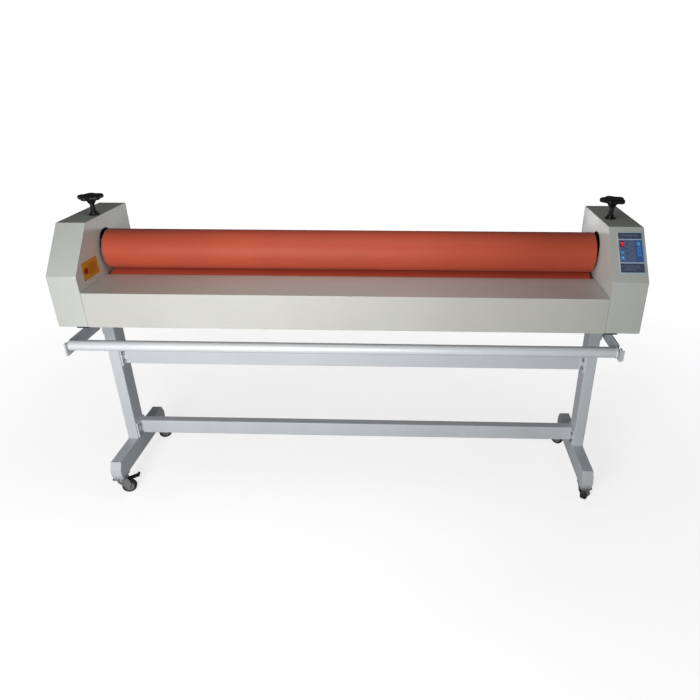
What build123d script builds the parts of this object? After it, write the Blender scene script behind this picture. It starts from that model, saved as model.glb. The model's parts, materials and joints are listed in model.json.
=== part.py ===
from build123d import *
import os
from math import acos, cos, hypot, pi, radians, sin, tan

# Cold roll laminator on a castered stand. Millimetres, +Z up, floor at Z = 0, front towards -Y.
# The origin is on the floor under the middle of the machine's bounding box.

# ---- driving dimensions: rollers ------------------------------------------------------------
ROLLER_R = 65.0            # silicone face radius
ROLLER_FACE = 1612.0       # for sheets up to 1600 wide
SLEEVE_T = 12.0            # silicone thickness
NIP_GAP = 0.3              # rest gap between the two rollers
SHAFT_R = 20.0
JOURNAL_R = 15.0
RUN_CLEAR = 0.05           # radial running clearance of shafts in bearings
LIFT = 20.0                # how far the top roller rises
AXIS_Y = 30.0              # both roller axes
TOP_Z = 867.0              # top roller axis at rest
BOTTOM_Z = TOP_Z - 2 * ROLLER_R - NIP_GAP

# ---- driving dimensions: covers and tables --------------------------------------------------
LEFT_W = 95.0
RIGHT_W = 107.0
CLEAR_W = 1632.0           # between the covers' inner faces
COVER_TOP = 980.0
COVER_BOTTOM = 674.0
CREASE_Z = 842.0
SHEET_T = 2.5
TABLE_T = 2.0
TABLE_Z = 789.0
FRONT_Y = AXIS_Y - 224.0
BACK_Y = AXIS_Y + 180.0
CREST_Y = AXIS_Y - 104.0   # where the flat top meets the slanted control face
TABLE_EDGE = 43.5          # table edge to roller axis
TABLE_SIDE_GAP = 0.6
SHAFT_HOLE_R = 46.0
SHAFT_HOLE_Z = TOP_Z + LIFT + 2.0   # clears the shaft from its rest to its raised height
FOLD_R = 3.0

# ---- driving dimensions: stand --------------------------------------------------------------
UPRIGHT_D = (4.0, 42.0)    # outboard of the inner face
UPRIGHT_Y = (AXIS_Y - 77.0, AXIS_Y - 11.0)
TUBE_T = 2.5
FOOT_Z = (74.0, 142.0)
FOOT_Y = (AXIS_Y - 240.0, AXIS_Y + 162.0)
BASE_T = 8.0
BASE_Y = (AXIS_Y - 214.0, AXIS_Y + 170.0)
BASE_D = (3.0, 43.0)
LOWER_BAR = (AXIS_Y - 45.0, AXIS_Y - 13.0, 147.0, 202.0)    # y0, y1, z0, z1
UPPER_BAR = (AXIS_Y - 57.0, AXIS_Y - 25.0, 455.0, 510.0)
BAR_END_T = 5.0
BAR_END_LIP = 4.0          # how far an end plate stands above and below its tube
BOLT_R = 4.0

# ---- driving dimensions: supply bar ---------------------------------------------------------
SUPPLY_R = 17.5
SUPPLY_Y = AXIS_Y - 205.0
SUPPLY_Z = 600.0
SUPPLY_JOURNAL_R = 6.0
BUSH_R = 10.0
ARM_T = 5.0
ARM_Z = {-1: (569.0, 613.0), 1: (576.0, 620.0)}
ARM_Y = (AXIS_Y - 228.0, AXIS_Y - 10.0)
ARM_D = {-1: 89.0, 1: 59.0}   # inner face of each arm, outboard of the cover's inner face
ARM_LIP = 7.0              # reach of the right arm's folded front edge
STOP_RING = (20.0, 5.0)    # radius and width of the bar's end ring

# ---- driving dimensions: pressure screws and side frames ------------------------------------
SCREW_D = {-1: 22.0, 1: 34.0}
SCREW_R = 8.0
WEB_T = 14.0
FRAME_TOP = 960.0
BLOCK = (30.0, 35.0)       # half width, half height of a bearing block
SLIDE_GAP = 0.3            # between a block and its slot
BEARING_R = 26.0
KNOB_R = 41.0
KNOB_WAVE = 5.0            # half the depth between the knob's lobes
KNOB_LOBES = 5
KNOB_T = 15.0
KNOB_Z = 1031.0            # underside of the knob's disc
KNOB_PHASE = {-1: 215.0, 1: 130.0}   # how far round the lobes stand
HUB = (10.0, 18.0, 14.0)   # hub radius below, hub radius above, height
COLLAR = (11.0, 12.0)      # collar radius and height
COLLAR_FLANGE = (16.5, 4.0)

# ---- driving dimensions: drive --------------------------------------------------------------
MODULE = 2.5
GEAR_TEETH = 40
PINION_TEETH = 20
PRESSURE_ANGLE = radians(20.0)
BACKLASH = 0.25
GEAR_D = (7.0, 21.0)       # gear faces, outboard of the right inner face

# ---- driving dimensions: control panel ------------------------------------------------------
PANEL = (75.0, 136.0, 1.5)
PANEL_RISE = 6.0           # above the middle of the slanted face
PANEL_SHIFT = 7.0          # outboard of the middle of the cover
PANEL_OPENING = (67.0, 98.0)
KEY = (10.0, 12.5, 3.4)
KEY_PROUD = 0.9            # how far a key stands above the panel
KEY_GAP = 0.3
KEY_PLACES = {
    "speed_up_key": (24.5, 29.0),
    "forward_key": (24.5, 12.0),
    "reverse_key": (24.5, -4.0),
    "run_key": (-26.0, -1.0),
    "stop_key": (-26.0, -17.5),
}
WINDOW = (12.0, 21.0)
WINDOW_PLACE = (-25.5, 27.5)
LABEL_Y = (AXIS_Y - 182.0, AXIS_Y - 88.0)
LABEL_Z = (812.0, 868.0)

# ---- driving dimensions: casters ------------------------------------------------------------
WHEEL_R = 25.0
WHEEL_W = 20.0
WHEEL_RECESS_R = 17.0
HUB_R = 8.0
AXLE_R = 4.0
TRAIL = 20.0
LEG_T = 2.5
LEG_GAP = 12.0             # half the space between the fork's legs
CASTER_PLACES = {          # name: side, y of the swivel axis, heading of the trail
    "front_left": (-1, AXIS_Y - 212.0, 16.0),
    "front_right": (1, AXIS_Y - 212.0, 54.0),
    "rear_left": (-1, AXIS_Y + 132.0, 25.0),
    "rear_right": (1, AXIS_Y + 132.0, 142.0),
}
CASTER_D = 23.0

HALF = (LEFT_W + CLEAR_W + RIGHT_W) / 2
INNER = {-1: LEFT_W - HALF, 1: HALF - RIGHT_W}
WIDTH = {-1: LEFT_W, 1: RIGHT_W}
NAMES = {-1: "left", 1: "right"}
MID_X = (INNER[-1] + INNER[1]) / 2


# ---- helpers --------------------------------------------------------------------------------
def block(x0, x1, y0, y1, z0, z1):
    """A box between two corners."""
    centre = Pos((x0 + x1) / 2, (y0 + y1) / 2, (z0 + z1) / 2)
    return centre * Box(x1 - x0, y1 - y0, z1 - z0)


def rod_x(x0, x1, y, z, r):
    """A cylinder along X."""
    return Pos((x0 + x1) / 2, y, z) * Rot(0, 90, 0) * Cylinder(r, x1 - x0)


def rod_y(x, y0, y1, z, r):
    """A cylinder along Y."""
    return Pos(x, (y0 + y1) / 2, z) * Rot(90, 0, 0) * Cylinder(r, y1 - y0)


def rod_z(x, y, z0, z1, r):
    """A cylinder along Z."""
    return Pos(x, y, (z0 + z1) / 2) * Cylinder(r, z1 - z0)


def outboard(side, near, far):
    """X range between two distances outboard of a cover's inner face."""
    ends = sorted((INNER[side] + side * near, INNER[side] + side * far))
    return ends[0], ends[1]


def side_extrude(face, x0, x1):
    """A face drawn in (Y, Z), extruded from x0 to x1."""
    return extrude(Plane.YZ.offset(x0) * face, amount=x1 - x0, dir=(1, 0, 0))


def side_prism(points, x0, x1):
    """A (Y, Z) outline extruded from x0 to x1."""
    return side_extrude(Polygon(*points, align=None), x0, x1)


def group(solids):
    """Separate solids that share one node."""
    flat = []
    for item in solids:
        flat += item.solids()
    return Compound(children=flat)


def hex_bolt_x(x, y, z, direction, length, r=BOLT_R):
    """A hex bolt along X: the head's seat is at x and the shank runs along direction."""
    head_h = 1.3 * r
    turn = Rot(0, 90 * direction, 0)
    head = extrude(RegularPolygon(1.9 * r, 6), amount=-head_h)
    shank = extrude(Circle(r), amount=length)
    return Pos(x, y, z) * turn * (head + shank)


# ---- covers ---------------------------------------------------------------------------------
def cover_outline(inset):
    """Side view of a cover, moved inwards by inset."""
    outline = Polygon(
        (FRONT_Y, COVER_BOTTOM), (FRONT_Y, CREASE_Z), (CREST_Y, COVER_TOP),
        (BACK_Y, COVER_TOP), (BACK_Y, COVER_BOTTOM), align=None)
    return offset(outline, -inset, kind=Kind.INTERSECTION) if inset else outline


def panel_plane():
    """Plane on the right cover's slanted face, at the control panel's centre."""
    run, rise = CREST_Y - FRONT_Y, COVER_TOP - CREASE_Z
    slope = hypot(run, rise)
    normal = (0, -rise / slope, run / slope)
    along = slope / 2 + PANEL_RISE
    y = FRONT_Y + run * along / slope
    z = CREASE_Z + rise * along / slope
    x = INNER[1] + RIGHT_W / 2 + PANEL_SHIFT
    return Plane(origin=(x, y, z), x_dir=(1, 0, 0), z_dir=normal)


def cover_shell(side):
    """Folded sheet cover, open on the inner side and underneath."""
    x0, x1 = outboard(side, 0, WIDTH[side])
    solid = side_extrude(cover_outline(0), x0, x1)
    rims = solid.faces().sort_by(Axis.X)[-1 if side > 0 else 0].edges()
    folds = solid.edges().filter_by(Axis.X)
    solid = fillet(rims + folds, FOLD_R)
    c0, c1 = outboard(side, -1, WIDTH[side] - SHEET_T)
    solid -= side_extrude(cover_outline(SHEET_T), c0, c1)
    solid -= block(c0, c1, FRONT_Y + SHEET_T, BACK_Y - SHEET_T, COVER_BOTTOM - 1, COVER_BOTTOM + 5)
    x = INNER[side] + side * SCREW_D[side]
    return solid - rod_z(x, AXIS_Y, COVER_TOP - 10, COVER_TOP + 10, SCREW_R + 4)


INLET_X = INNER[1] + 64.0
INLET_Z = 735.0
INLET = (28.0, 50.0, 26.0)     # width, height, depth of the inlet housing


def right_cover_shell():
    """Right cover with the control panel's opening and the inlet's hole."""
    shell = cover_shell(1)
    shell -= panel_plane() * Box(*PANEL_OPENING, 12)
    return shell - block(INLET_X - INLET[0] / 2, INLET_X + INLET[0] / 2, BACK_Y - 10, BACK_Y + 10,
                         INLET_Z - INLET[1] / 2, INLET_Z + INLET[1] / 2)


def inner_panel(side):
    """Flat sheet that closes a cover's inner side, with holes for the two roller shafts."""
    x0, x1 = outboard(side, 0.2, 0.2 + SHEET_T)
    panel = side_extrude(cover_outline(SHEET_T + 0.2), x0, x1)
    panel -= rod_x(x0 - 1, x1 + 1, AXIS_Y, SHAFT_HOLE_Z, SHAFT_HOLE_R)
    for y, z in TIES:
        panel -= rod_x(x0 - 1, x1 + 1, y, z, TIE_R + 0.5)
    return panel - rod_x(x0 - 1, x1 + 1, AXIS_Y, BOTTOM_Z, SHAFT_R + 6)


def base_plate(side):
    """Dark mounting plate under a side frame."""
    x0, x1 = outboard(side, *BASE_D)
    return block(x0, x1, *BASE_Y, COVER_BOTTOM - BASE_T, COVER_BOTTOM)


def table(front, edge):
    """Folded sheet table: a deck, a vertical apron and a return flange; front is -1 or 1."""
    x0 = INNER[-1] + TABLE_SIDE_GAP
    x1 = INNER[1] - TABLE_SIDE_GAP
    far = FRONT_Y if front < 0 else BACK_Y
    near = AXIS_Y + front * TABLE_EDGE
    flange = 28.0
    ys = sorted((far, near))
    deck = block(x0, x1, ys[0], ys[1], TABLE_Z - TABLE_T, TABLE_Z)
    ys = sorted((far, far - front * TABLE_T))
    apron = block(x0, x1, ys[0], ys[1], COVER_BOTTOM, TABLE_Z)
    ys = sorted((far, far - front * flange))
    lip = block(x0, x1, ys[0], ys[1], COVER_BOTTOM, COVER_BOTTOM + TABLE_T)
    sheet = deck + apron + lip
    corner = sheet.edges().filter_by(Axis.X).sort_by_distance((0, far, TABLE_Z))[0]
    return fillet(corner, edge)


# ---- side frames and lifting carriage -------------------------------------------------------
def web_x(side, half=WEB_T / 2):
    """X range centred on the pressure screw."""
    return outboard(side, SCREW_D[side] - half, SCREW_D[side] + half)


SLOT_Z = (TOP_Z - BLOCK[1] - 30.0, TOP_Z + BLOCK[1] + LIFT + 2.0)
TIE_R = 12.5
TIES = ((AXIS_Y - 165.0, 705.0), (AXIS_Y + 125.0, 705.0))


def side_frame(side):
    """Casting that carries both bearings, with the screw's boss on top."""
    x0, x1 = web_x(side)
    web = side_prism(
        ((AXIS_Y - 195, COVER_BOTTOM), (AXIS_Y - 195, 730), (AXIS_Y - 60, 800), (AXIS_Y - 55, FRAME_TOP),
         (AXIS_Y + 55, FRAME_TOP), (AXIS_Y + 60, 800), (AXIS_Y + 155, 730), (AXIS_Y + 155, COVER_BOTTOM)),
        x0, x1)
    b0, b1 = web_x(side, 16.0)
    boss = block(b0, b1, AXIS_Y - 28, AXIS_Y + 28, SLOT_Z[1] + 4, FRAME_TOP)
    f0, f1 = web_x(side, 10.0)
    foot = block(f0, f1, AXIS_Y - 195, AXIS_Y + 155, COVER_BOTTOM, COVER_BOTTOM + 12)
    casting = web + boss + foot
    casting -= block(x0 - 9, x1 + 9, AXIS_Y - BLOCK[0] - SLIDE_GAP,
                     AXIS_Y + BLOCK[0] + SLIDE_GAP, *SLOT_Z)
    casting -= rod_x(x0 - 20, x1 + 20, AXIS_Y, BOTTOM_Z, BEARING_R)
    x = INNER[side] + side * SCREW_D[side]
    casting -= rod_z(x, AXIS_Y, SLOT_Z[1], FRAME_TOP + 1, SCREW_R + RUN_CLEAR)
    for y, z in TIES:
        casting -= rod_x(x0 - 1, x1 + 1, y, z, 6.0)
    if side > 0:
        casting -= rod_x(x0 - 20, x1 + 20, AXIS_Y - PINION_OFFSET, BOTTOM_Z, MOTOR_PILOT_R)
    return casting


def bearing_ring(side, z):
    """Bearing in a side frame or block, bored for a journal."""
    x0, x1 = web_x(side)
    ring = rod_x(x0, x1, AXIS_Y, z, BEARING_R)
    return ring - rod_x(x0 - 1, x1 + 1, AXIS_Y, z, JOURNAL_R + RUN_CLEAR)


SOCKET = 7.0         # how deep a pressure screw's tip sits in its block
WING = (5.3, 8.0)    # thickness and reach of a block's guide flanges


def bearing_block(side):
    """Sliding block with its bearing, flanged over the side frame's web."""
    x0, x1 = web_x(side)
    z0, z1 = TOP_Z - BLOCK[1], TOP_Z + BLOCK[1]
    body = block(x0 - WING[0], x1 + WING[0], AXIS_Y - BLOCK[0], AXIS_Y + BLOCK[0], z0, z1)
    for w0, w1 in ((x0 - WING[0], x0 - SLIDE_GAP), (x1 + SLIDE_GAP, x1 + WING[0])):
        body += block(w0, w1, AXIS_Y - BLOCK[0] - WING[1], AXIS_Y + BLOCK[0] + WING[1], z0, z1)
    body -= rod_x(x0 - 9, x1 + 9, AXIS_Y, TOP_Z, BEARING_R)
    x = INNER[side] + side * SCREW_D[side]
    body -= rod_z(x, AXIS_Y, z1 - SOCKET, z1 + 1, SCREW_R + RUN_CLEAR)
    return body


def lift_spring(side, y):
    """Compression spring that holds a bearing block up against its screw."""
    x = INNER[side] + side * SCREW_D[side]
    height = TOP_Z - BLOCK[1] - SLOT_Z[0]
    wire, coil_r, turns = 1.0, 5.2, 5
    run = height - 2 * wire - 0.4
    path = Helix(pitch=run / turns, height=run, radius=coil_r)
    section = Plane(origin=path @ 0, z_dir=path % 0) * Circle(wire)
    return Pos(x, y, SLOT_Z[0] + wire + 0.2) * sweep(section, path=path)


# ---- rollers --------------------------------------------------------------------------------
def roller_sleeve(z):
    """Silicone face of a roller."""
    x0, x1 = MID_X - ROLLER_FACE / 2, MID_X + ROLLER_FACE / 2
    skin = rod_x(x0, x1, AXIS_Y, z, ROLLER_R)
    skin = fillet(skin.edges(), 2.0)
    return skin - rod_x(x0 - 1, x1 + 1, AXIS_Y, z, ROLLER_R - SLEEVE_T)


def roller_core(z, right_end):
    """Steel core tube with end discs, shoulders and journals; right_end is its last X."""
    x0, x1 = MID_X - ROLLER_FACE / 2 + 2, MID_X + ROLLER_FACE / 2 - 2
    core = rod_x(x0, x1, AXIS_Y, z, ROLLER_R - SLEEVE_T)
    core -= rod_x(x0 + 20, x1 - 20, AXIS_Y, z, ROLLER_R - SLEEVE_T - 8)
    for side in (-1, 1):
        web = web_x(side)
        shoulder = web[1] + 6 if side < 0 else web[0] - 6
        inner_end = x0 if side < 0 else x1
        tip = web[0] - 7 if side < 0 else right_end
        core += rod_x(min(shoulder, inner_end), max(shoulder, inner_end), AXIS_Y, z, SHAFT_R)
        core += rod_x(min(shoulder, tip), max(shoulder, tip), AXIS_Y, z, JOURNAL_R)
    return core


# ---- pressure screws and knobs --------------------------------------------------------------
SCREW_TOP = 4.0      # how far below the knob's disc its screw ends


def pressure_screw(side):
    """Screw from the bearing block up into its knob."""
    x = INNER[side] + side * SCREW_D[side]
    tip = TOP_Z + BLOCK[1] - SOCKET + 0.3
    shank = rod_z(x, AXIS_Y, tip, KNOB_Z - SCREW_TOP, SCREW_R)
    return chamfer(shank.edges(), 1.0)


def star_knob(side):
    """Lobed hand knob with a tapered hub."""
    x = INNER[side] + side * SCREW_D[side]
    steps = 8 * KNOB_LOBES
    rim = []
    for i in range(steps):
        a = 2 * pi * i / steps
        r = KNOB_R - KNOB_WAVE + KNOB_WAVE * cos(KNOB_LOBES * a - radians(KNOB_PHASE[side]))
        rim.append((r * cos(a), r * sin(a)))
    disc = extrude(make_face(Spline(*rim, periodic=True)), amount=KNOB_T)
    disc = fillet(disc.faces().sort_by(Axis.Z)[-1].edges(), 5.0)
    disc = fillet(disc.faces().sort_by(Axis.Z)[0].edges(), 3.0)
    knob = disc + Pos(0, 0, -HUB[2] / 2) * Cone(*HUB)
    knob -= rod_z(0, 0, -2 * HUB[2], -SCREW_TOP, SCREW_R)
    return Pos(x, AXIS_Y, KNOB_Z) * knob


def knob_collar(side):
    """Flanged dust collar on top of a cover."""
    x = INNER[side] + side * SCREW_D[side]
    collar = rod_z(x, AXIS_Y, COVER_TOP, COVER_TOP + COLLAR_FLANGE[1], COLLAR_FLANGE[0])
    collar += rod_z(x, AXIS_Y, COVER_TOP, COVER_TOP + COLLAR[1], COLLAR[0])
    collar = fillet(collar.edges().filter_by(GeomType.CIRCLE).group_by(Axis.Z)[-1], 1.5)
    return collar - rod_z(x, AXIS_Y, COVER_TOP - 1, COVER_TOP + 20, SCREW_R + 0.4)


# ---- drive ----------------------------------------------------------------------------------
PINION_OFFSET = MODULE * (GEAR_TEETH + PINION_TEETH) / 2
MOTOR_PILOT_R = 17.0
MOTOR = (30.0, 56.0)     # gearbox thickness, overall length


def involute_point(base_r, r):
    """Polar angle of the involute at radius r."""
    a = acos(min(1.0, base_r / r))
    return tan(a) - a


def gear_outline(teeth, tooth_at):
    """Involute gear outline with a tooth centred at tooth_at degrees."""
    pitch_r = MODULE * teeth / 2
    base_r = pitch_r * cos(PRESSURE_ANGLE)
    tip_r = pitch_r + MODULE * 0.95
    root_r = pitch_r - MODULE * 1.25
    half_tooth = (pi * MODULE / 2 - BACKLASH) / (2 * pitch_r) + involute_point(base_r, pitch_r)
    start_r = max(base_r, root_r)
    points = []
    steps = 4
    for i in range(teeth):
        centre = radians(tooth_at) + 2 * pi * i / teeth
        flank = []
        for k in range(steps + 1):
            r = start_r + (tip_r - start_r) * k / steps
            flank.append((r, half_tooth - involute_point(base_r, r)))
        flank.insert(0, (root_r, flank[0][1]))
        for r, a in flank:
            points.append((r * cos(centre - a), r * sin(centre - a)))
        for r, a in reversed(flank):
            points.append((r * cos(centre + a), r * sin(centre + a)))
    return Polygon(*points, align=None)


def gear(teeth, y, tooth_at, bore_r):
    """Spur gear on an X axis at the lower roller's height."""
    x0, x1 = outboard(1, *GEAR_D)
    blank = extrude(gear_outline(teeth, tooth_at), amount=x1 - x0)
    blank -= Cylinder(bore_r, 200)
    return Plane(origin=(x0, y, BOTTOM_Z), x_dir=(0, 1, 0), z_dir=(1, 0, 0)) * blank


def drive_gear():
    """Gear keyed on the lower roller's shaft, lightened by six holes."""
    wheel = gear(GEAR_TEETH, AXIS_Y, 180.0, SHAFT_R)
    x0, x1 = outboard(1, *GEAR_D)
    for i in range(6):
        a = radians(30 + 60 * i)
        wheel -= rod_x(x0 - 1, x1 + 1, AXIS_Y + 32 * cos(a), BOTTOM_Z + 32 * sin(a), 7.0)
    return wheel


def motor_pinion():
    """Pinion with the gearmotor's output shaft."""
    y = AXIS_Y - PINION_OFFSET
    tooth_gap = 360.0 / PINION_TEETH / 2
    pinion = gear(PINION_TEETH, y, tooth_gap, 5.0)
    x0 = outboard(1, *GEAR_D)[0]
    return pinion + rod_x(x0, web_x(1)[1] + 10, y, BOTTOM_Z, 7.0)


def gearmotor():
    """Gearmotor bolted to the outside of the right side frame."""
    y = AXIS_Y - PINION_OFFSET
    x = web_x(1)[1]
    box = block(x, x + MOTOR[0], y - 36, y + 34, BOTTOM_Z - 42, BOTTOM_Z + 34)
    box = fillet(box.edges().filter_by(Axis.X), 8.0)
    can = rod_x(x + MOTOR[0], x + MOTOR[1], y, BOTTOM_Z - 4, 30.0)
    pilot = rod_x(web_x(1)[0] + 1, x, y, BOTTOM_Z, MOTOR_PILOT_R - 0.2)
    body = box + can + pilot
    return body - rod_x(x - 20, x + 11, y, BOTTOM_Z, 7.0 + RUN_CLEAR)


# ---- control panel --------------------------------------------------------------------------
def control_panel():
    """Flat keypad plate on the slanted face."""
    plate = Box(PANEL[0], PANEL[1], PANEL[2])
    plate = fillet(plate.edges().filter_by(Axis.Z), 3.0)
    for u, v in KEY_PLACES.values():
        plate -= Pos(u, v, 0) * Box(KEY[0] + 2 * KEY_GAP, KEY[1] + 2 * KEY_GAP, 10)
    plate -= Pos(*WINDOW_PLACE, 0) * Box(*WINDOW, 10)
    return panel_plane() * Pos(0, 0, PANEL[2] / 2) * plate


def key(u, v):
    """Push key, retained behind the panel by a rim."""
    cap = Pos(0, 0, PANEL[2] + KEY_PROUD - KEY[2] / 2) * Box(*KEY)
    cap = fillet(cap.edges().filter_by(Axis.Z), 1.2)
    rim = Pos(0, 0, -KEY_GAP - 0.6) * Box(KEY[0] + 1.8, KEY[1] + 1.8, 1.2)
    stem = Pos(0, 0, -3.2) * Box(4, 4, 5)
    return panel_plane() * Pos(u, v, 0) * (cap + rim + stem)


def display_window():
    """Smoked window and digit housing."""
    lens = Pos(0, 0, -4.5) * Box(WINDOW[0] - 0.4, WINDOW[1] - 0.4, 11)
    return panel_plane() * Pos(*WINDOW_PLACE, 0) * lens


def control_board():
    """Circuit board behind the panel."""
    board = Pos(0, 0, -11) * Box(64, 90, 1.6)
    for u, v in KEY_PLACES.values():
        board += Pos(u, v, -8.2) * Box(6, 6, 4.0)
    return panel_plane() * board


def side_label():
    """Rectangular notice plate on the left inner panel."""
    x = INNER[-1] - 0.2
    return block(x, x + 0.6, *LABEL_Y, *LABEL_Z)


# ---- power inlet ----------------------------------------------------------------------------
ROCKER_Z = INLET_Z + 12.0


def power_inlet():
    """Inlet housing with a rocker recess above the three pin socket."""
    w, h, d = INLET
    body = block(INLET_X - w / 2, INLET_X + w / 2, BACK_Y - d, BACK_Y, INLET_Z - h / 2, INLET_Z + h / 2)
    body -= block(INLET_X - 10, INLET_X + 10, BACK_Y - 14, BACK_Y + 1, ROCKER_Z - 8, ROCKER_Z + 8)
    body -= block(INLET_X - 11, INLET_X + 11, BACK_Y - 16, BACK_Y + 1, INLET_Z - 20, INLET_Z - 4)
    for dx, dz in ((-6, -10), (6, -10), (0, -14)):
        pin = block(INLET_X + dx - 1, INLET_X + dx + 1, BACK_Y - 17, BACK_Y - 4,
                    INLET_Z + dz - 2, INLET_Z + dz + 2)
        body += pin
    return body


def power_switch():
    """Rocker that tips about an X axis in the inlet housing."""
    y = BACK_Y - 7.0
    rocker = rod_x(INLET_X - 9.6, INLET_X + 9.6, y, ROCKER_Z, 6.4)
    cut = block(INLET_X - 20, INLET_X + 20, y + 3.2, y + 20, ROCKER_Z - 20, ROCKER_Z + 20)
    rocker -= Pos(0, y, ROCKER_Z) * Rot(-10, 0, 0) * Pos(0, -y, -ROCKER_Z) * cut
    return rocker


# ---- stand ----------------------------------------------------------------------------------
def box_tube(x0, x1, y0, y1, z0, z1, axis):
    """Rectangular tube with rounded corners, open along axis."""
    outer = block(x0, x1, y0, y1, z0, z1)
    outer = fillet(outer.edges().filter_by(axis), 3.0)
    grow = {Axis.X: (1, 0, 0), Axis.Z: (0, 0, 1)}[axis]
    t = [TUBE_T if g == 0 else -1 for g in grow]
    return outer - block(x0 + t[0], x1 - t[0], y0 + t[1], y1 - t[1], z0 + t[2], z1 - t[2])


def upright(side):
    """Vertical tube between a foot and the machine's base plate."""
    x0, x1 = outboard(side, *UPRIGHT_D)
    tube = box_tube(x0, x1, *UPRIGHT_Y, FOOT_Z[1], COVER_BOTTOM - BASE_T, Axis.Z)
    return bolt_holes(tube)


def foot(side):
    """Foot beam with folded, faceted ends."""
    x0, x1 = outboard(side, *UPRIGHT_D)
    (y0, y1), (z0, z1) = FOOT_Y, FOOT_Z
    slope, knee, sole, toe = 15.0, z1 - 28, z0 + 16, 8.0
    outline = ((y0 + slope, z1), (y0, knee), (y0, sole), (y0 + toe, z0),
               (y1 - toe, z0), (y1, sole), (y1, knee), (y1 - slope, z1))
    return fillet(side_prism(outline, x0, x1).edges().filter_by(Axis.X, reverse=True), 1.5)


def bolt_places():
    """Side and head seat of each crossbar bolt."""
    y = UPRIGHT_Y[0] + 11
    for bar in (LOWER_BAR, UPPER_BAR):
        for side in (-1, 1):
            x = INNER[side] + side * (UPRIGHT_D[0] - BAR_END_T)
            for z in (bar[2] + 12, bar[3] - 12):
                yield side, x, y, z


def bolt_holes(body):
    """Clearance holes for the crossbar bolts."""
    for side, x, y, z in bolt_places():
        far = x + side * (BAR_END_T + TUBE_T + 5)
        body -= rod_x(min(x, far), max(x, far), y, z, BOLT_R + 0.3)
    return body


def crossbar(bar):
    """Rectangular tube between the uprights with a bolted plate at each end."""
    y0, y1, z0, z1 = bar
    x0 = INNER[-1] - UPRIGHT_D[0]
    x1 = INNER[1] + UPRIGHT_D[0]
    tube = box_tube(x0 + BAR_END_T, x1 - BAR_END_T, y0, y1, z0, z1, Axis.X)
    front = UPRIGHT_Y[0] + 5
    for x in (x0, x1 - BAR_END_T):
        tube += block(x, x + BAR_END_T, front, y1 + 3, z0 - BAR_END_LIP, z1 + BAR_END_LIP)
    return bolt_holes(tube)


def crossbar_bolts():
    """Two hex bolts at each end plate of both crossbars."""
    length = BAR_END_T + TUBE_T + 4
    return [hex_bolt_x(x, y, z, side, length) for side, x, y, z in bolt_places()]


def arm(side):
    """Plate arm with an open notch for the supply bar and a welded stub to the upright."""
    d = ARM_D[side]
    x0, x1 = outboard(side, d, d + ARM_T)
    z0, z1 = ARM_Z[side]
    plate = block(x0, x1, *ARM_Y, z0, z1)
    plate = fillet(plate.edges().filter_by(Axis.X), 4.0)
    slot = BUSH_R + 0.3
    plate -= rod_x(x0 - 1, x1 + 1, SUPPLY_Y, SUPPLY_Z, slot)
    plate -= block(x0 - 1, x1 + 1, SUPPLY_Y - slot, SUPPLY_Y + slot, SUPPLY_Z, z1 + 1)
    s0, s1 = outboard(side, UPRIGHT_D[1], d)
    stub = block(s0, s1, AXIS_Y - 45, AXIS_Y - 15, 590, 606)
    t0, t1 = outboard(side, UPRIGHT_D[1], UPRIGHT_D[1] + 5)
    bracket = plate + stub + block(t0, t1, AXIS_Y - 72, AXIS_Y - 13, 578, 618)
    if side > 0:
        g0, g1 = outboard(side, d, d + ARM_T + ARM_LIP)
        bracket += block(g0, g1, ARM_Y[0], ARM_Y[0] + 3, z0 + 4, z1 - 4)
    return bracket


# ---- supply bar -----------------------------------------------------------------------------
BUSH_FLANGE = 3.0    # thickness of a bush's flange
SUPPLY_GAP = 4.0     # between an arm and the bar's full diameter
SUPPLY_ENDS = (INNER[-1] - ARM_D[-1] + SUPPLY_GAP, INNER[1] + ARM_D[1] - SUPPLY_GAP)


def supply_bar():
    """Aluminium bar with turned journals and a clamped collar at the right end."""
    x0, x1 = SUPPLY_ENDS
    bar = rod_x(x0, x1, SUPPLY_Y, SUPPLY_Z, SUPPLY_R)
    bar = chamfer(bar.edges(), 1.5)
    bar += chamfer(rod_x(x1 - STOP_RING[1], x1, SUPPLY_Y, SUPPLY_Z, STOP_RING[0]).edges(), 0.8)
    ends = (outboard(-1, 0, ARM_D[-1] + ARM_T + 1)[0], outboard(1, 0, ARM_D[1] + ARM_T + 1)[1])
    return bar + rod_x(*ends, SUPPLY_Y, SUPPLY_Z, SUPPLY_JOURNAL_R)


def supply_bush(side):
    """Flanged nylon bush that drops into an arm's notch."""
    d = ARM_D[side]
    x0, x1 = outboard(side, d - 0.4, d + ARM_T + 0.6)
    f0, f1 = outboard(side, d - 0.4 - BUSH_FLANGE, d - 0.4)
    ring = rod_x(x0, x1, SUPPLY_Y, SUPPLY_Z, BUSH_R) + rod_x(f0, f1, SUPPLY_Y, SUPPLY_Z, BUSH_R + 4)
    hole = SUPPLY_JOURNAL_R + RUN_CLEAR
    return ring - rod_x(min(x0, f0) - 1, max(x1, f1) + 1, SUPPLY_Y, SUPPLY_Z, hole)


# ---- casters --------------------------------------------------------------------------------
PLATE_T = 3.0
RACE_Z = FOOT_Z[0] - PLATE_T - 6.0
FORK_TOP = RACE_Z - 0.3
KINGPIN_R = 5.0
PEDAL_PIVOT = (21.0, 55.0)
PEDAL_TILT = 16.0


def caster_place(name):
    """Location of a caster's swivel axis on the floor, with its trail along local X."""
    side, y, heading = CASTER_PLACES[name]
    return Pos(INNER[side] + side * CASTER_D, y, 0) * Rot(0, 0, heading)


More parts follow.
